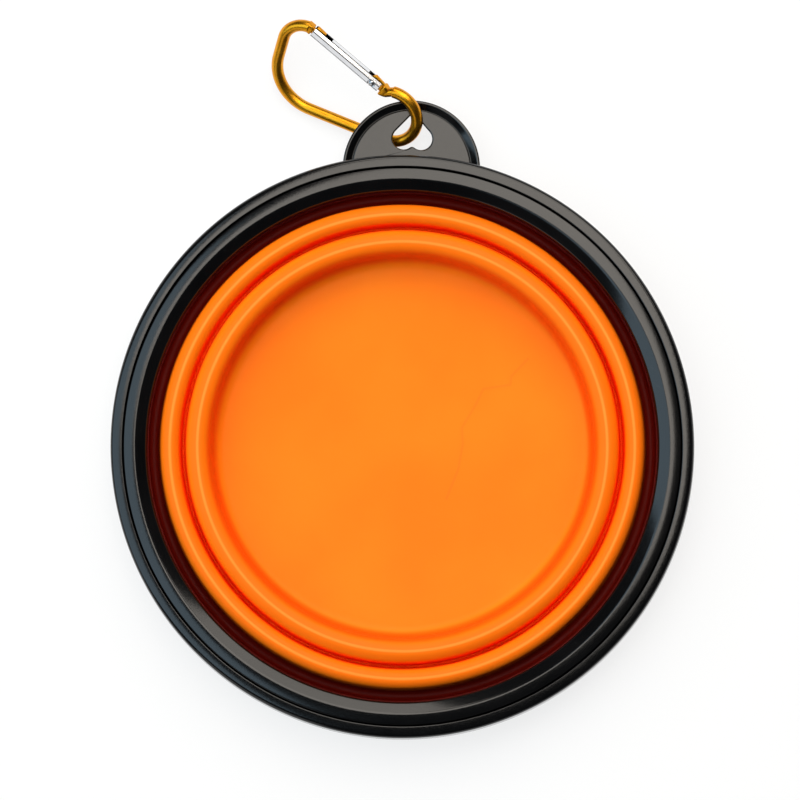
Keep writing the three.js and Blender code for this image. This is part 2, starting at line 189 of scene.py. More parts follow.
def vectorMaths(tree, operation, *settings):
    node = addNode(tree, "ShaderNodeVectorMath", operation=operation)
    for socket, setting in zip(node.inputs, settings):
        feed(tree, socket, setting)
    return node


def splitAxes(tree, vector):
    node = addNode(tree, "ShaderNodeSeparateXYZ")
    tree.links.new(vector, node.inputs[0])
    return node.outputs


def howFar(tree, value, middle):
    return maths(tree, "ABSOLUTE", maths(tree, "SUBTRACT", value, middle))


def mapRange(tree, value, low, high, newLow, newHigh, smooth=False):
    node = addNode(tree, "ShaderNodeMapRange")
    node.interpolation_type = "SMOOTHSTEP" if smooth else "LINEAR"
    for key, setting in (("Value", value), ("From Min", low), ("From Max", high),
                         ("To Min", newLow), ("To Max", newHigh)):
        feed(tree, node.inputs[key], setting)
    return node.outputs["Result"]


def mixColour(tree, factor, first, second):
    node = addNode(tree, "ShaderNodeMix", data_type="RGBA")
    for index, setting in ((0, factor), (6, first), (7, second)):
        feed(tree, node.inputs[index], setting)
    return node.outputs[2]


def newGroup(name, inputs, outputs):
    group = bpy.data.node_groups.new(name, "ShaderNodeTree")
    for label, kind, default in inputs:
        socket = group.interface.new_socket(name=label, in_out="INPUT", socket_type=kind)
        if default is not None:
            socket.default_value = default
    for label, kind in outputs:
        group.interface.new_socket(name=label, in_out="OUTPUT", socket_type=kind)
    return group, group.nodes.new("NodeGroupInput"), group.nodes.new("NodeGroupOutput")


# Moulded or rolled surface: soft colour drift, fine grain and an uneven sheen
grainLook = {"driftDetail": 3.0, "driftLow": 0.3, "driftHigh": 0.7, "grainDetail": 2.0, "grainLow": 0.3,
             "grainHigh": 0.7, "speckleLow": 0.35, "speckleHigh": 0.75, "speckle": 0.25}


def surfaceGrain():
    look = grainLook
    group, given, put = newGroup(
        "surfaceGrain",
        [("Vector", "NodeSocketVector", None), ("Tint", "NodeSocketColor", (1, 1, 1, 1)),
         ("Shade", "NodeSocketColor", (0.5, 0.5, 0.5, 1)), ("Drift", "NodeSocketFloat", 40.0),
         ("Grain", "NodeSocketFloat", 900.0), ("Smoothest", "NodeSocketFloat", 0.3),
         ("Roughest", "NodeSocketFloat", 0.5)],
        [("Color", "NodeSocketColor"), ("Roughness", "NodeSocketFloat"), ("Height", "NodeSocketFloat")])
    noises = []
    for scale, detail in (("Drift", "driftDetail"), ("Grain", "grainDetail")):
        node = addNode(group, "ShaderNodeTexNoise")
        node.inputs["Detail"].default_value = look[detail]
        group.links.new(given.outputs["Vector"], node.inputs["Vector"])
        group.links.new(given.outputs[scale], node.inputs["Scale"])
        noises.append(node.outputs["Fac"])
    drift, grain = noises
    spread = mapRange(group, drift, look["driftLow"], look["driftHigh"], 0.0, 1.0, smooth=True)
    speckle = mapRange(group, grain, look["speckleLow"], look["speckleHigh"], 0.0, look["speckle"])
    amount = maths(group, "MAXIMUM", spread, speckle)
    colour = mixColour(group, amount, given.outputs["Tint"], given.outputs["Shade"])
    sheen = mapRange(group, grain, look["grainLow"], look["grainHigh"],
                     given.outputs["Smoothest"], given.outputs["Roughest"])
    for label, result in (("Color", colour), ("Roughness", sheen), ("Height", grain)):
        group.links.new(result, put.inputs[label])
    return group


# Hair-fine scuffs along one direction of the vector that it is given
scuffLook = {"detail": 3.0, "edge": 0.12}


def fineScuffs():
    group, given, put = newGroup(
        "fineScuffs",
        [("Vector", "NodeSocketVector", None), ("Across", "NodeSocketFloat", 3000.0),
         ("Along", "NodeSocketFloat", 60.0), ("Cover", "NodeSocketFloat", 0.62)],
        [("Mask", "NodeSocketFloat")])
    stretch = addNode(group, "ShaderNodeCombineXYZ")
    for axis, scale in (("X", "Along"), ("Y", "Across"), ("Z", "Across")):
        group.links.new(given.outputs[scale], stretch.inputs[axis])
    scaled = vectorMaths(group, "MULTIPLY", given.outputs["Vector"], stretch.outputs[0])
    noise = addNode(group, "ShaderNodeTexNoise")
    noise.inputs["Scale"].default_value = 1.0
    noise.inputs["Detail"].default_value = scuffLook["detail"]
    group.links.new(scaled.outputs[0], noise.inputs["Vector"])
    cover = given.outputs["Cover"]
    edge = maths(group, "ADD", cover, scuffLook["edge"])
    group.links.new(mapRange(group, noise.outputs["Fac"], cover, edge, 0.0, 1.0), put.inputs["Mask"])
    return group


grainGroup = surfaceGrain()
scuffGroup = fineScuffs()


def startMaterial(name):
    material = bpy.data.materials.new(name)
    material.use_nodes = True
    tree = material.node_tree
    shader = tree.nodes["Principled BSDF"]
    place = addNode(tree, "ShaderNodeTexCoord")
    return material, tree, shader, place.outputs["Object"]


def useGroup(tree, group, vector, **values):
    node = addNode(tree, "ShaderNodeGroup", node_tree=group)
    tree.links.new(vector, node.inputs["Vector"])
    for key, value in values.items():
        node.inputs[key].default_value = value
    return node


def useGrain(tree, place, finish):
    return useGroup(tree, grainGroup, place, Tint=finish["tint"], Shade=finish["shade"],
                    Drift=finish["drift"], Grain=finish["grain"],
                    Smoothest=finish["smoothest"], Roughest=finish["roughest"])


# The colour, the grain's sheen and a bump of the finish's depth in mm
def coverShader(tree, shader, finish, colour, roughness, height):
    tree.links.new(colour, shader.inputs["Base Color"])
    tree.links.new(roughness, shader.inputs["Roughness"])
    bump = addNode(tree, "ShaderNodeBump")
    bump.inputs["Strength"].default_value = finish["bump"]
    bump.inputs["Distance"].default_value = finish["bumpDepth"] * mm
    tree.links.new(height, bump.inputs["Height"])
    tree.links.new(bump.outputs["Normal"], shader.inputs["Normal"])


# Soft orange moulding: satin, painted shade redder in the folds, a painted highlight line along each crest
# A band has its tint, the ring of the bowl where it lies, how far past that, half its full width and its fade
orangeFinish = {
    # Painted shade: upright walls take a redder tint
    "tint": (0.985, 0.222, 0.005, 1), "shade": (0.98, 0.193, 0.003, 1), "steepShade": (0.985, 0.16, 0.004, 1),
    # The crest, foot, groove and recess tints are painted shade: redder, and dark red in the recess by the
    # rim
    "crest": (0.985, 0.172, 0.004, 1), "paintedCrestHighlight": (0.99, 0.275, 0.03, 1), "foot": (0.985, 0.115, 0.003, 1),
    "foldShade": (0.985, 0.125, 0.003, 1), "recess": (0.15, 0.004, 0.001, 1), "creaseShade": (0.62, 0.13, 0.008, 1),
    "drift": 32.0, "grain": 1500.0, "smoothest": 0.38, "roughest": 0.5, "gloss": 0.1,
    "bump": 0.08, "bumpDepth": 0.1, "steepRise": 0.2, "flatRise": 0.85, "deepFull": 5.0, "deepEnd": 10.5,
    "bands": (("crest", "lowerCrest", 0, 1.2, 1.0), ("crest", "upperCrest", 0, 1.2, 1.0),
              # Painted highlight: a thin pale line along each crest
              ("paintedCrestHighlight", "lowerCrest", 0, 0.05, 0.45), ("paintedCrestHighlight", "upperCrest", 0, 0.05, 0.45),
              ("foot", "floorRadius", 0.3, 0.5, 1.2), ("foldShade", "groove", 0, 0.6, 1.2),
              ("recess", "recess", 0.4, 1.3, 0.7)),
    "creaseDepth": 0.3, "creaseHalf": 0.5,
    "creaseRun": ((27.3, 20.6), (23.7, 16.6), (23.6, 14.7), (17.6, 13.6), (15.9, 9.8), (13.1, 4.8),
                  (13.4, 1.1), (12.6, -4.4), (10.2, -11.0))}


# Painted shade of a hair-fine creased line in the floor: how near a point is to a short chain of lines, in
# plan
def paintedCreaseShade(tree, spot):
    o = orangeFinish
    nearest = None
    run = [Vector((x, y, 0)) * mm for x, y in o["creaseRun"]]
    for start, end in zip(run, run[1:]):
        line = end - start
        off = vectorMaths(tree, "SUBTRACT", spot, start).outputs[0]
        along = vectorMaths(tree, "DOT_PRODUCT", off, line / line.length_squared)
        held = addNode(tree, "ShaderNodeClamp")
        tree.links.new(along.outputs["Value"], held.inputs["Value"])
        foot = vectorMaths(tree, "SCALE", line)
        tree.links.new(held.outputs[0], foot.inputs["Scale"])
        away = vectorMaths(tree, "DISTANCE", off, foot.outputs[0]).outputs["Value"]
        nearest = away if nearest is None else maths(tree, "MINIMUM", nearest, away)
    return mapRange(tree, nearest, 0.0, o["creaseHalf"] * mm, o["creaseDepth"], 0.0, smooth=True)


def softOrange():
    o = orangeFinish
    material, tree, shader, place = startMaterial("softOrange")
    grain = useGrain(tree, place, o)
    flat = vectorMaths(tree, "MULTIPLY", place, (1, 1, 0)).outputs[0]
    radius = vectorMaths(tree, "LENGTH", flat).outputs["Value"]
    height = splitAxes(tree, place)["Z"]
    deep = mapRange(tree, height, o["deepFull"] * mm, o["deepEnd"] * mm, 1.0, 0.0, smooth=True)
    # Painted shade: the more upright the surface, the redder it is tinted
    lie = addNode(tree, "ShaderNodeNewGeometry")
    rise = maths(tree, "ABSOLUTE", splitAxes(tree, lie.outputs["Normal"])["Z"])
    steepShade = mapRange(tree, rise, o["steepRise"], o["flatRise"], 1.0, 0.0, smooth=True)
    colour = mixColour(tree, steepShade, grain.outputs["Color"], o["steepShade"])
    for tint, ring, past, full, fade in o["bands"]:
        away = howFar(tree, radius, (bowl[ring] + past) * mm)
        band = mapRange(tree, away, full * mm, (full + fade) * mm, 1.0, 0.0, smooth=True)
        # Painted shade of the groove and recess, faded out above the deep part of the folds
        if tint in ("foldShade", "recess"):  # these lie deep down in the folds
            band = maths(tree, "MULTIPLY", band, deep)
        colour = mixColour(tree, band, colour, o[tint])
    # Painted shade: darker along the creased line in the floor
    colour = mixColour(tree, paintedCreaseShade(tree, flat), colour, o["creaseShade"])
    coverShader(tree, shader, o, colour, grain.outputs["Roughness"], grain.outputs["Height"])
    shader.inputs["Specular IOR Level"].default_value = o["gloss"]
    return material


# Black hard plastic: semi-gloss with an uneven sheen and faint handling scuffs
blackFinish = {"tint": (0.002, 0.002, 0.0022, 1), "shade": (0.0035, 0.0034, 0.0036, 1),
               "scuff": (0.012, 0.012, 0.012, 1), "scuffTurn": (0.3, 0.2, 0.7), "scuffAcross": 2600.0,
               "scuffAlong": 90.0, "scuffCover": 0.66, "drift": 70.0, "grain": 2600.0,
               "smoothest": 0.11, "roughest": 0.17, "bump": 0.05, "bumpDepth": 0.1}


def blackPlastic():
    k = blackFinish
    material, tree, shader, place = startMaterial("blackPlastic")
    grain = useGrain(tree, place, k)
    turn = addNode(tree, "ShaderNodeMapping")
    turn.inputs["Rotation"].default_value = k["scuffTurn"]
    tree.links.new(place, turn.inputs["Vector"])
    scuff = useGroup(tree, scuffGroup, turn.outputs[0], Across=k["scuffAcross"], Along=k["scuffAlong"],
                     Cover=k["scuffCover"])
    colour = mixColour(tree, scuff.outputs["Mask"], grain.outputs["Color"], k["scuff"])
    coverShader(tree, shader, k, colour, grain.outputs["Roughness"], grain.outputs["Height"])
    return material


# Painted reflection: dark lines where a bar's flats meet its chamfers, at that distance from its middle
edgeReflectionLook = {"tint": (0.06, 0.06, 0.065, 1), "full": 0.05, "end": 0.17, "depth": 0.92}


def paintedEdgeReflection(tree, spot, distance):
    axes = splitAxes(tree, spot)
    offs = [howFar(tree, maths(tree, "ABSOLUTE", axes[axis]), distance) for axis in ("Y", "Z")]
    nearest = maths(tree, "MINIMUM", *offs)
    return mapRange(tree, nearest, edgeReflectionLook["full"] * mm, edgeReflectionLook["end"] * mm, edgeReflectionLook["depth"], 0.0,
                    smooth=True)


# Bright metals: colour drift, draw lines along the piece's own x axis, a sheen from the grain, and painted
# edge reflections
drawnMetal = {"drift": 260.0, "grain": 4200.0, "cover": 0.55, "bump": 0.06, "bumpDepth": 0.05}
goldFinish = dict(drawnMetal, tint=(0.86, 0.385, 0.018, 1), shade=(0.76, 0.30, 0.012, 1),
                  smoothest=0.26, roughest=0.36, along=60.0, across=2200.0)
gateFinish = dict(drawnMetal, tint=(0.92, 0.92, 0.93, 1), shade=(0.80, 0.81, 0.83, 1),
                  smoothest=0.07, roughest=0.14, along=40.0, across=2600.0)
steelFinish = dict(drawnMetal, tint=(0.62, 0.63, 0.65, 1), shade=(0.5, 0.5, 0.52, 1),
                   smoothest=0.2, roughest=0.32, along=80.0, across=2600.0)


def brightMetal(name, finish, own, reflectionEdgeAt=None):
    material, tree, shader, place = startMaterial(name)
    grain = useGrain(tree, place, finish)
    turn = addNode(tree, "ShaderNodeMapping")
    turn.inputs["Location"].default_value = own.inverted().translation
    turn.inputs["Rotation"].default_value = own.inverted().to_euler()
    tree.links.new(place, turn.inputs["Vector"])
    lines = useGroup(tree, scuffGroup, turn.outputs[0], Across=finish["across"], Along=finish["along"],
                     Cover=finish["cover"])
    colour = mixColour(tree, lines.outputs["Mask"], grain.outputs["Color"], finish["shade"])
    # Painted reflection: dark lines along the bar's edges
    if reflectionEdgeAt:
        colour = mixColour(tree, paintedEdgeReflection(tree, turn.outputs[0], reflectionEdgeAt), colour, edgeReflectionLook["tint"])
    coverShader(tree, shader, finish, colour, grain.outputs["Roughness"], lines.outputs["Mask"])
    shader.inputs["Metallic"].default_value = 1.0
    return material


# Bowl: the folds of the soft moulding, in mm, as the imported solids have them
bowl = {"floorRadius": 42.1, "floorTop": 2.6, "floorRound": 2.4, "wallRound": 2.4, "footDraft": 0.8,
        "footRound": 1.0, "crestTop": 12.4, "crestUnder": 10.8, "crestUnderRound": 0.7,
        "valleyTop": 2.2, "valleyUnder": 0.7, "valleyUnderRound": 1.4, "valleyShare": 0.95,
        "lowerCrest": 45.4, "lowerRoll": 2.5, "groove": 48.8, "grooveHalf": 0.3,
        "upperCrest": 51.5, "upperRoll": 2.0, "recess": 55.3, "recessHalf": 1.1, "recessRound": 1.0,
        "web": 1.2, "rollShare": 0.97, "rollMost": 2.35,
        "band": 1.7, "bandRound": 1.9, "bandUnderRound": 0.25, "bandFootRound": 0.28,
        "flangeReach": 61.7, "flangeUnder": 3.1, "flangeTop": 4.6, "flangeRound": 0.2}

orange = softOrange()
black = blackPlastic()


def makeBellows():
    b = bowl
    wall = b["lowerCrest"] - b["lowerRoll"]
    cup = turnedPiece("bowlBase", [
        (0, b["floorTop"], 0), (b["floorRadius"], b["floorTop"], b["floorRound"]),
        (wall, b["crestTop"], b["wallRound"]), (b["lowerCrest"], b["crestTop"], 0),
        (b["lowerCrest"], b["crestUnder"], 0), (wall + b["band"], b["crestUnder"], b["crestUnderRound"]),
        (wall + b["band"] - b["footDraft"], 0, b["footRound"]), (0, 0, 0)], closed=False)
    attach(dress(cup, orange, "bellows", "base_cup"), "base")

    def web(name, crest, roll, valley, half, node, inner, outer):
        wetTop = crest + roll
        wetBottom = valley - half
        piece = turnedPiece(name, [
            (valley, b["valleyUnder"], 0), (valley, b["valleyTop"], 0),
            (wetBottom, b["valleyTop"], b["valleyShare"] * half),
            (wetTop, b["crestTop"], min(b["rollMost"], b["rollShare"] * roll)),
            (crest, b["crestTop"], 0), (crest, b["crestUnder"], 0),
            (wetTop - b["web"], b["crestUnder"], b["crestUnderRound"]),
            (wetBottom - b["web"], b["valleyUnder"], b["valleyUnderRound"])])
        dress(piece, orange, "bellows", node)
        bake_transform(piece)

    web("lowerFold", b["lowerCrest"], b["lowerRoll"], b["groove"], b["grooveHalf"],
        "lower_web", "base", "middle")
    inner = b["groove"] + b["grooveHalf"]
    crestSide = b["upperCrest"] - b["upperRoll"]
    middle = turnedPiece("middleBand", [
        (b["groove"], b["valleyUnder"], 0), (inner + b["band"], b["valleyUnder"], b["valleyUnderRound"]),
        (crestSide + b["band"], b["crestUnder"], b["bandUnderRound"]), (b["upperCrest"], b["crestUnder"], 0),
        (b["upperCrest"], b["crestTop"], 0), (crestSide, b["crestTop"], b["bandRound"]),
        (inner, b["valleyTop"], b["bandFootRound"]), (b["groove"], b["valleyTop"], 0)])
    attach(dress(middle, orange, "bellows", "middle_band"), "middle")
    web("upperFold", b["upperCrest"], b["upperRoll"], b["recess"], b["recessHalf"],
        "upper_web", "middle", "rim")
    wet = b["recess"] + b["recessHalf"]
    flange = b["flangeRound"]
    top = turnedPiece("upperBand", [
        (b["recess"], b["valleyUnder"], 0), (wet + b["web"], b["valleyUnder"], b["valleyUnderRound"]),
        (wet + b["web"], b["flangeUnder"], flange), (b["flangeReach"], b["flangeUnder"], flange),
        (b["flangeReach"], b["flangeTop"], flange), (wet, b["flangeTop"], flange),
        (wet, b["valleyTop"], b["recessRound"]), (b["recess"], b["valleyTop"], 0)])
    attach(dress(top, orange, "bellows", "upper_band"), "rim")
    print("bellows: 5 pieces")


makeBellows()


# Rim: the clamp ring inside and the carrier ring outside, with a snap bead between them
rim = {"clampInner": 56.7, "clampBottom": 4.9, "chamferFoot": 11.91, "chamferTop": 59.1, "chamferRound": 0.35,
       "innerRound": 0.4, "top": 13.2, "clampCrown": 60.6, "clampCrownDrop": 0.06, "clampCrownRound": 0.8,
       "seam": 61.85, "seamGap": 0.15, "seamTop": 12.95, "seamRound": 0.22,
       "snapFoot": 6.8, "snapPeak": 7.6, "snapTop": 8.0, "snapHigh": 0.4, "snapRound": 0.1,
       "outer": 65.1, "outerTop": 64.6, "outerRound": 0.35, "shoulder": 12.7, "shoulderRound": 0.85,
       "carrierCrown": 63.3, "carrierCrownTop": 12.88, "carrierCrownRound": 0.7,
       "lift": 1.0, "ledge": 57.9, "ledgeTop": 2.8, "ledgeRound": 0.1, "edgeRound": 0.2, "steps": 360}


def snapBead(radius):
    r = rim
    return [(radius, r["snapFoot"], 0), (radius + r["snapHigh"], r["snapPeak"], r["snapRound"]),
            (radius, r["snapTop"], 0)]


def makeRim():
    r = rim
    inside = r["seam"] - r["seamGap"]
    outside = r["seam"] + r["seamGap"]
    clamp = turnedPiece("clampRing", [
        (r["clampInner"], r["clampBottom"], r["edgeRound"]), (inside, r["clampBottom"], r["edgeRound"]),
        *snapBead(inside), (inside, r["seamTop"], r["seamRound"]),
        (r["clampCrown"], r["top"] - r["clampCrownDrop"], r["clampCrownRound"]),
        (r["chamferTop"], r["top"], r["chamferRound"]),
        (r["clampInner"], r["chamferFoot"], r["innerRound"])], steps=r["steps"])
    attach(dress(clamp, black, "rim", "rim_clamp_ring"), "rim")
    carrier = turnedPiece("carrierRing", [
        (r["ledge"], r["lift"], r["edgeRound"]), (r["outer"], r["lift"], r["outerRound"]),
        (r["outerTop"], r["shoulder"], r["shoulderRound"]),
        (r["carrierCrown"], r["carrierCrownTop"], r["carrierCrownRound"]),
        (outside, r["seamTop"], r["seamRound"]), *reversed(snapBead(outside)),
        (outside, r["ledgeTop"], r["ledgeRound"]),
        (r["ledge"], r["ledgeTop"], r["edgeRound"])], steps=r["steps"])
    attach(dress(carrier, black, "rim", "rim_carrier_ring"), "rim")
    print("rim: clamp and carrier rings")


# Hang tab: a half disc with a beaded edge and a heart-shaped hole
tab = {"centre": 61.8, "radius": 15.3, "bead": 2.0, "level": 7.0, "webHalf": 0.6, "beadHalf": 1.1,
       "cut": 62.3, "steps": 160, "lap": 0.4, "lapRound": 0.3, "footRound": 0.6, "edgeRound": 0.36,
       "lip": 0.62, "lipRound": 0.14, "grooveFloor": 7.25, "grooveDraft": 0.1, "grooveRound": 0.05,
       "softEdge": 0.32, "softSteps": 4, "sharpAngle": 9,
       "lobe": 2.45, "lobeSide": 1.95, "lobeAt": 68.6, "lobeSteps": 30, "cusp": 0.8, "cuspSteps": 6,
       "tip": 74.3, "cutPast": 3, "onAxis": 0.02, "join": 0.001}


def heartShape():
    t = tab
    heart = bmesh.new()
    lobe = Vector((t["lobeSide"], t["lobeAt"], 0)) * mm
    tip = Vector((0, t["tip"], 0)) * mm
    reach = (tip - lobe).length
    touch = math.atan2(tip.y - lobe.y, tip.x - lobe.x) - math.acos(t["lobe"] * mm / reach)
    start = heart.verts.new(lobe + Vector((math.cos(touch), math.sin(touch), 0)) * t["lobe"] * mm)
    drop = math.sqrt((t["lobe"] + t["cusp"]) ** 2 - t["lobeSide"] ** 2)
    turn = math.atan2(-drop, -t["lobeSide"])
    spun = bmesh.ops.spin(heart, geom=[start], cent=lobe, axis=(0, 0, 1), angle=turn - touch,
                          steps=t["lobeSteps"])
    cusp = lobe - Vector((t["lobeSide"], drop, 0)) * mm
    bmesh.ops.spin(heart, geom=onlyVerts(spun["geom_last"]), cent=cusp, axis=(0, 0, 1),
                   angle=-math.pi / 2 - turn, steps=t["cuspSteps"])
    heart.edges.new((start, heart.verts.new(tip)))
    for vert in heart.verts:
        if abs(vert.co.x) < t["onAxis"] * mm:
            vert.co.x = 0
    bmesh.ops.mirror(heart, geom=heart.verts[:] + heart.edges[:], matrix=Matrix.Identity(4),
                     merge_dist=t["join"] * mm, axis="X")
    bmesh.ops.remove_doubles(heart, verts=heart.verts, dist=2 * t["join"] * mm)
    bmesh.ops.contextual_create(heart, geom=heart.edges[:])
    raiseFaces(heart, t["level"] - t["cutPast"], t["level"] + t["cutPast"])
    return heart


def makeTab():
    t = tab
    low = t["level"] - t["beadHalf"]
    high = t["level"] + t["beadHalf"]
    inner = t["radius"] - t["bead"]
    bm = bmesh.new()
    turnSection(bm, [(inner - t["lap"], low, t["lapRound"]), (t["radius"], low, t["footRound"]),
                     (t["radius"], high, t["edgeRound"]), (t["radius"] - t["lip"], high, t["lipRound"]),
                     (inner + t["grooveDraft"], t["grooveFloor"], t["grooveRound"]),
                     (inner - t["lap"], t["grooveFloor"], 0)], True, t["steps"])
    bmesh.ops.translate(bm, verts=bm.verts, vec=(0, t["centre"] * mm, 0))
    splitPlane(bm, (0, t["cut"], 0), (0, -1, 0), True)
    bmesh.ops.holes_fill(bm, edges=[e for e in bm.edges if e.is_boundary], sides=0)
    bead = finishPiece("tabBead", bm)
    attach(dress(bead, black, "rim", "rim_carrier_ring"), "rim")

    bm = bmesh.new()
    disc = bmesh.ops.create_circle(bm, cap_ends=True, radius=inner * mm, segments=t["steps"])
    bmesh.ops.translate(bm, verts=disc["verts"], vec=(0, t["centre"] * mm, 0))
    splitPlane(bm, (0, t["cut"], 0), (0, -1, 0), True)
    splitPlane(bm, (0, 0, 0), (1, 0, 0), False)  # each half of the heart cuts one face
    raiseFaces(bm, t["level"] - t["webHalf"], t["level"] + t["webHalf"])
    web = carve("tabWeb", bm, [heartShape()], t["softEdge"], t["softSteps"], t["sharpAngle"])
    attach(dress(web, black, "rim", "rim_carrier_ring"), "rim")
    print("tab: bead and web")


makeRim()
makeTab()


# Carabiner, drawn flat in the plane of its rod: x along the spine, y towards the gate, in mm
clip = {"rod": 1.32, "rodSides": 40, "spine": 18.2, "narrow": 6.25, "narrowEnd": 99, "narrowSteps": 56,
        "corner": 9.9, "cornerSteps": 32, "side": 5.1, "top": 5.0, "topSteps": 24,
        "tailRound": 1.0, "tailSteps": 7, "noseRound": 0.15, "noseSteps": 3,
        "rivetAlong": 6.0, "rivetAcross": 13.2, "sharpAngle": 45}
neck = {"radius": 1.05, "sides": 28, "reach": 0.8, "lap": 0.9}
shoulder = {"length": 1.9, "wide": 1.15, "taper": 0.7, "round": 0.5, "roundSteps": 5}
tang = {"thick": 0.9, "round": 0.16, "lap": 0.5, "rootDrop": 0.5, "eyeAt": 0.4, "eyeDrop": 0.9,
        "tip": 1.0, "tipTop": 0.5, "tipFoot": -0.75, "heelAt": 0.2, "heelStand": 0.45}
tongue = {"thick": 1.0, "round": 0.14, "depth": 3.9, "half": 0.7, "lap": 0.6,
          "lug": 2.4, "lugStand": 0.3, "lugSlope": 0.15, "lugDraft": 0.2}
noseStop = {"size": (1.7, 2.1, 2.0), "back": 0.1, "round": 0.22, "roundSteps": 3}
gate = {"size": 2.6, "chamfer": 0.68, "tail": 2.0, "noseGap": 1.2, "fork": 1.9, "slot": 4.6, "slotFloor": 0.6,
        "clearance": 0.15, "cutPast": 1, "longEdge": 5, "roundEdge": 0.14, "roundSteps": 3,
        "softEdge": 0.09, "softSteps": 3, "sharpAngle": 6}
pinShape = {"pin": 1.0, "head": 1.5, "headHigh": 0.35, "crown": 0.6, "crownRound": 0.2, "edgeStand": 0.05,
            "edgeRound": 0.12, "seat": 1.75, "seatDeep": 0.12, "steps": 40, "cornerSteps": 4}
plateSteps = 3  # segments across the rounded edge of a plate


def jointFrame():
    swing = joints["carabiner_swing"]
    hinge = joints["gate_open"]
    along = Vector(swing["axis"]).normalized()
    normal = Vector(hinge["axis"]).normalized()
    across = normal.cross(along).normalized()
    rod = Matrix((along, across, normal)).transposed().to_4x4()
    rod.translation = Vector(swing["pos_m"])
    return rod


rodFrame = jointFrame()
half = clip["spine"] / 2
rivetAt = Vector((half - clip["rivetAlong"], clip["rivetAcross"], 0)) * mm
sideAt = -half - clip["corner"]
topCentre = Vector((sideAt + clip["top"], clip["corner"] + clip["side"], 0)) * mm
noseAt = topCentre + Vector((0, clip["top"] * mm, 0))
gateTurn = math.atan2(noseAt.y - rivetAt.y, noseAt.x - rivetAt.x)
gateSpan = (noseAt - rivetAt).length / mm
gateInRod = Matrix.Translation(rivetAt) @ Matrix.Rotation(gateTurn, 4, "Z")
gateFrame = rodFrame @ gateInRod
gateSide = gate["size"] / 2

gold = brightMetal("goldAnodised", goldFinish, rodFrame)
silver = brightMetal("polishedGate", gateFinish, gateFrame, reflectionEdgeAt=(gateSide - gate["chamfer"]) * mm)
steel = brightMetal("brightSteel", steelFinish, gateFrame)


# A loop of edges swept round a centre in the rod's plane, or pushed straight on: each gives its far loop
def sweepLoop(bm, edges, centre, angle, steps):
    verts = list(dict.fromkeys(v for e in edges for v in e.verts))
    spun = bmesh.ops.spin(bm, geom=verts + edges, cent=centre, axis=(0, 0, 1), angle=angle, steps=steps)
    return onlyEdges(spun["geom_last"])


def pushLoop(bm, edges, vec):
    made = bmesh.ops.extrude_edge_only(bm, edges=edges)["geom"]
    verts = onlyVerts(made)
    bmesh.ops.translate(bm, verts=verts, vec=vec)
    return [e for e in onlyEdges(made) if all(v in verts for v in e.verts)]


def plate(bm, outline, thickness, bevel):
    verts = [bm.verts.new((x * mm, y * mm, -thickness / 2 * mm)) for x, y in outline]
    face = bm.faces.new(verts)
    made = bmesh.ops.extrude_face_region(bm, geom=[face], use_keep_orig=True)["geom"]
    lifted = onlyVerts(made)
    bmesh.ops.translate(bm, verts=lifted, vec=(0, 0, thickness * mm))
    whole = set(verts) | set(lifted)
    edges = [e for e in bm.edges if e.verts[0] in whole and e.verts[1] in whole]
    bevelEdges(bm, edges, bevel, plateSteps)


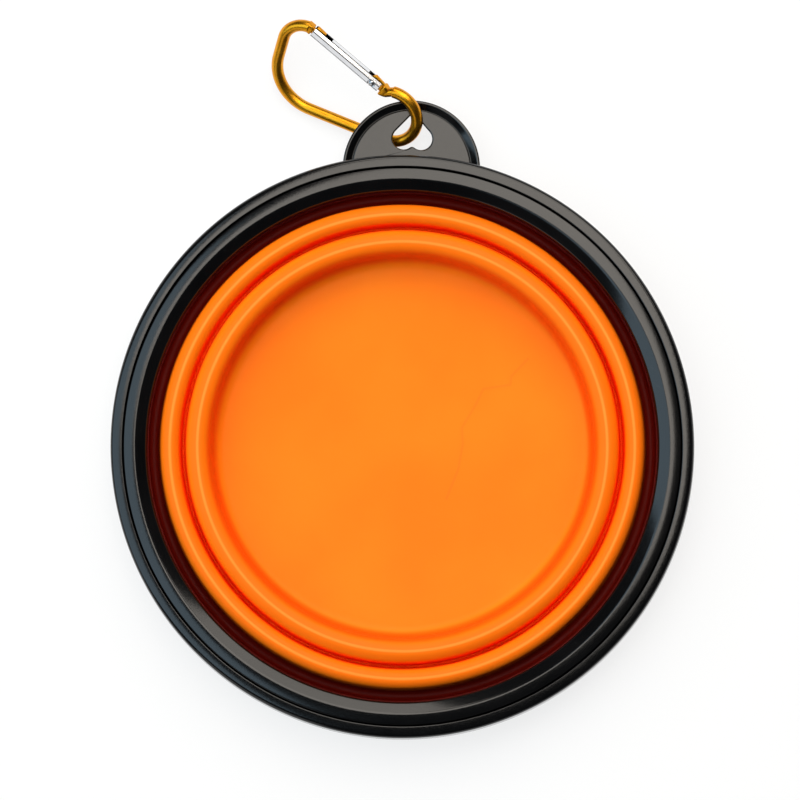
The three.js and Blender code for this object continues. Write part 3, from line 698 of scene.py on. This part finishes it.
def makeRod():
    c = clip
    bm = bmesh.new()
    narrow = Vector((half, c["narrow"], 0)) * mm
    narrowEnd = math.radians(c["narrowEnd"])
    ring = bmesh.ops.create_circle(bm, cap_ends=False, radius=c["rod"] * mm, segments=c["rodSides"])["verts"]
    bmesh.ops.rotate(bm, verts=ring, cent=(0, 0, 0), matrix=Matrix.Rotation(math.pi / 2, 3, "X"))
    bmesh.ops.translate(bm, verts=ring, vec=narrow + Vector((c["narrow"] * mm, 0, 0)))
    bmesh.ops.rotate(bm, verts=ring, cent=narrow, matrix=Matrix.Rotation(narrowEnd, 3, "Z"))
    first = bm.edges[:]
    edges = sweepLoop(bm, first, narrow, -narrowEnd - math.pi / 2, c["narrowSteps"])
    edges = pushLoop(bm, edges, (-c["spine"] * mm, 0, 0))
    corner = Vector((-half, c["corner"], 0)) * mm
    edges = sweepLoop(bm, edges, corner, -math.pi / 2, c["cornerSteps"])
    edges = pushLoop(bm, edges, (0, c["side"] * mm, 0))
    edges = sweepLoop(bm, edges, topCentre, -math.pi / 2, c["topSteps"])
    noseFace = bmesh.ops.contextual_create(bm, geom=edges)["faces"]
    tailFace = bmesh.ops.contextual_create(bm, geom=first)["faces"]
    bevelEdges(bm, list(tailFace[0].edges), c["tailRound"], c["tailSteps"])
    bevelEdges(bm, list(noseFace[0].edges), c["noseRound"], c["noseSteps"])

    # Neck, shoulder, hinge tang, tongue with its lug, and nose stop, in the gate's own axes
    def inGate(shape):
        part = bmesh.new()
        shape(part)
        part.transform(gateInRod)
        mesh = bpy.data.meshes.new("scrap")
        part.to_mesh(mesh)
        part.free()
        bm.from_mesh(mesh)
        bpy.data.meshes.remove(mesh)

    shoulderAt = -(math.hypot(gate["tail"], gateSide) + gate["clearance"])

    def shoulderBlock(part):
        s = shoulder
        middle = shoulderAt - s["length"] / 2
        made = addBox(part, (s["length"], gate["size"] * s["wide"], gate["size"]), (middle, 0, 0))
        rear = [v for v in made if v.co.x < middle * mm]
        bmesh.ops.scale(part, verts=rear, vec=(1, s["taper"], s["taper"]))
        bevelEdges(part, part.edges[:], s["round"], s["roundSteps"])

    def tangPlate(part):
        t = tang
        root = shoulderAt - t["lap"]
        plate(part, [(root, -gateSide), (root, gateSide - t["rootDrop"]),
                     (t["eyeAt"], gateSide - t["eyeDrop"]), (t["tip"], t["tipTop"]),
                     (t["tip"], t["tipFoot"]), (t["heelAt"], -gateSide - t["heelStand"])],
              t["thick"], t["round"])

    def tonguePlate(part):
        t = tongue
        start = gateSpan - t["depth"]
        end = gateSpan + t["lap"]
        lugEnd = start + t["lug"]
        back = -gateSide - t["lugStand"]
        plate(part, [(start, -t["half"]), (start, back + t["lugSlope"]), (lugEnd, back),
                     (lugEnd + t["lugDraft"], -t["half"]), (end, -t["half"]), (end, t["half"]),
                     (start, t["half"])], t["thick"], t["round"])

    def noseBlock(part):  # the flat stop between the rod's end and the gate's end
        addBox(part, noseStop["size"], (gateSpan - noseStop["back"], 0, 0))
        bevelEdges(part, part.edges[:], noseStop["round"], noseStop["roundSteps"])

    def neckRod(part):
        rodEnd = narrow + Vector((math.cos(narrowEnd), math.sin(narrowEnd), 0)) * c["narrow"] * mm
        tail = Matrix.Rotation(-gateTurn, 4, "Z") @ (rodEnd - rivetAt)
        goal = Vector(((shoulderAt - neck["reach"] * shoulder["length"]) * mm, 0, 0))
        run = goal - tail
        radius = neck["radius"] * mm
        made = bmesh.ops.create_cone(part, cap_ends=True, segments=neck["sides"], radius1=radius,
                                     radius2=radius, depth=run.length + neck["lap"] * mm)["verts"]
        lean = upAxis.rotation_difference(run).to_matrix()
        bmesh.ops.rotate(part, verts=made, cent=(0, 0, 0), matrix=lean)
        bmesh.ops.translate(part, verts=made, vec=(tail + goal) / 2)

    for shape in (shoulderBlock, tangPlate, tonguePlate, noseBlock, neckRod):
        inGate(shape)
    bm.transform(rodFrame)
    rod = finishPiece("clipRod", bm, c["sharpAngle"])
    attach(dress(rod, gold, "gold_rod", "carabiner_body"), "carabiner")
    print("carabiner rod")


def boxMesh(low, high):
    bm = bmesh.new()
    addBox(bm, Vector(high) - Vector(low), (Vector(low) + Vector(high)) / 2)
    return bm


def makeGate():
    g = gate
    side = gateSide
    past = g["cutPast"]
    length = gateSpan - g["noseGap"]
    bm = boxMesh((-g["tail"], -side, -side), (length, side, side))
    for width, steps in ((g["chamfer"], 1), (g["roundEdge"], g["roundSteps"])):
        longEdges = [e for e in bm.edges if abs((e.verts[0].co - e.verts[1].co).x) > g["longEdge"] * mm]
        bevelEdges(bm, longEdges, width, steps)
    slotHalf = tongue["thick"] / 2 + g["clearance"]
    forkHalf = tang["thick"] / 2 + g["clearance"]
    cuts = [boxMesh((-g["tail"] - past, -side - past, -forkHalf), (g["fork"], side + past, forkHalf)),
            boxMesh((length - g["slot"], -side - past, -slotHalf),
                    (length + past, side - g["slotFloor"], slotHalf))]
    for face in (-1, 1):  # a shallow seat round each head of the rivet
        seat = bmesh.new()
        radius = pinShape["seat"] / 2 * mm
        bmesh.ops.create_cone(seat, cap_ends=True, segments=pinShape["steps"], radius1=radius, radius2=radius,
                              depth=2 * pinShape["seatDeep"] * mm)
        bmesh.ops.translate(seat, verts=seat.verts, vec=(0, 0, face * side * mm))
        cuts.append(seat)
    bar = carve("clipGate", bm, cuts, g["softEdge"], g["softSteps"], g["sharpAngle"])
    bar.data.transform(gateFrame)
    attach(dress(bar, silver, "gate", "carabiner_gate"), "gate")


# The rivet, with the same head at both ends, and the steel pieces inside the gate
def makePins():
    v = pinShape
    head = v["head"] / 2
    pin = v["pin"] / 2
    foot = gateSide - v["seatDeep"]
    reach = gateSide + v["headHigh"]
    upper = [(pin, foot, 0), (head, foot, 0), (head, gateSide + v["edgeStand"], v["edgeRound"]),
             (head * v["crown"], reach, v["crownRound"]), (0, reach, 0)]
    lower = [(radius, -height, rounding) for radius, height, rounding in reversed(upper)]
    bm = bmesh.new()
    turnSection(bm, lower + upper, False, v["steps"], segments=v["cornerSteps"])
    bm.transform(gateFrame)
    rivet = finishPiece("gateRivet", bm)
    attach(dress(rivet, steel, "pins", "hinge_rivet"), "carabiner")
    for node in ("spring_plunger", "gate_spring"):
        dress(frame["nodes"][node], steel, "pins")
    print("gate and rivet")


makeRod()
makeGate()
makePins()


# Studio: pale floor, soft boxes to the north, a cool panel to the west and a low card to the south-west
# A lamp has its bearing (degrees east of north), angle down from the zenith, distance, size, power, colour
warm = (1.0, 0.935, 0.85)
studio = {"floorSize": 3.0, "floorDrop": 0.05, "floorColour": (0.9, 0.9, 0.9, 1), "floorGlow": 1.0,
          "glowShare": 0.8, "wall": (0.14, 0.145, 0.15, 1), "dark": (0.02, 0.022, 0.026, 1),
          "wallTop": 0.25, "wallFade": 0.45,
          "lamps": (("northTop", 19, 15, 1.4, (0.6, 0.75), 5.6, warm),
                    ("northLow", 19, 46, 1.4, (1.25, 0.82), 9.8, warm),
                    ("northFill", -34, 36, 1.4, (1.25, 1.6), 12.4, warm),
                    ("westPanel", -98, 40, 1.4, (1.0, 1.65), 10.4, (0.62, 0.84, 1.0)),
                    ("lowCard", 210, 74, 1.2, (0.6, 0.55), 0.8, (1.0, 1.0, 1.0))),
          "distance": 1.6, "imageWidth": 0.17845, "sensor": 36, "clipEnd": 20,
          "aim": (-0.0009, 0.0106, 0.001), "south": 2.0, "east": 0.4, "lean": 1.86,
          "bounces": 20, "diffuseBounces": 14}  # light goes on bouncing in the deep folds


def makeFloor():
    s = studio
    bm = bmesh.new()
    bmesh.ops.create_grid(bm, x_segments=1, y_segments=1, size=s["floorSize"] / 2)
    floor = finishPiece("paleFloor", bm)
    floor.location.z = -s["floorDrop"] * mm
    material = bpy.data.materials.new("paleFloor")
    material.use_nodes = True
    tree = material.node_tree
    tree.nodes.remove(tree.nodes["Principled BSDF"])
    matt = addNode(tree, "ShaderNodeBsdfDiffuse")
    matt.inputs["Color"].default_value = s["floorColour"]
    glow = addNode(tree, "ShaderNodeEmission")
    glow.inputs["Strength"].default_value = s["floorGlow"]
    path = addNode(tree, "ShaderNodeLightPath").outputs
    seen = maths(tree, "MAXIMUM", path["Is Camera Ray"], path["Is Glossy Ray"])
    seen = maths(tree, "MAXIMUM", seen, path["Is Transmission Ray"])
    mix = addNode(tree, "ShaderNodeMixShader")
    tree.links.new(maths(tree, "MULTIPLY", seen, s["glowShare"]), mix.inputs[0])
    tree.links.new(matt.outputs[0], mix.inputs[1])
    tree.links.new(glow.outputs[0], mix.inputs[2])
    tree.links.new(mix.outputs[0], tree.nodes["Material Output"].inputs["Surface"])
    floor.data.materials.append(material)


# A lamp that faces the bowl; a fill lamp lights it without a reflection of its own
def areaLight(name, bearing, fromTop, away, size, power, colour):
    lamp = bpy.data.lights.new(name, "AREA")
    lamp.shape = "RECTANGLE"
    lamp.size, lamp.size_y = size
    lamp.energy = power
    lamp.color = colour
    obj = bpy.data.objects.new(name, lamp)
    turn = Matrix.Rotation(-math.radians(bearing), 4, "Z") @ Matrix.Rotation(-math.radians(fromTop), 4, "X")
    obj.matrix_world = turn @ Matrix.Translation((0, 0, away))
    obj.visible_glossy = not name.endswith("Fill")
    bpy.context.scene.collection.objects.link(obj)


def makeWorld():
    s = studio
    world = bpy.data.worlds.new("studioAir")
    bpy.context.scene.world = world
    world.use_nodes = True
    tree = world.node_tree
    look = addNode(tree, "ShaderNodeTexCoord")
    height = splitAxes(tree, look.outputs["Generated"])["Z"]
    wall = mapRange(tree, height, s["wallTop"], s["wallFade"], 0.0, 1.0, smooth=True)
    tree.links.new(mixColour(tree, wall, s["wall"], s["dark"]), tree.nodes["Background"].inputs["Color"])


def makeCamera():
    s = studio
    lens = bpy.data.cameras.new("longLens")
    lens.sensor_width = s["sensor"]
    lens.lens = s["sensor"] * s["distance"] / s["imageWidth"]
    lens.clip_end = s["clipEnd"]
    camera = bpy.data.objects.new("longLens", lens)
    lean = math.radians(s["lean"])
    back = Vector((math.tan(math.radians(s["east"])), -math.tan(math.radians(s["south"])), 1)).normalized()
    up = Vector((-math.sin(lean), math.cos(lean), 0))
    right = up.cross(back).normalized()
    turn = Matrix((right, back.cross(right), back)).transposed()
    camera.matrix_world = Matrix.Translation(Vector(s["aim"]) + back * s["distance"]) @ turn.to_4x4()
    bpy.context.scene.collection.objects.link(camera)
    bpy.context.scene.camera = camera


def makeStudio():
    makeFloor()
    makeWorld()
    for lamp in studio["lamps"]:
        areaLight(*lamp)
    makeCamera()
    scene = bpy.context.scene
    scene.view_settings.view_transform = "Standard"
    scene.cycles.max_bounces = studio["bounces"]
    scene.cycles.diffuse_bounces = studio["diffuseBounces"]
    print("studio set")


makeStudio()
bpy.context.view_layer.update()
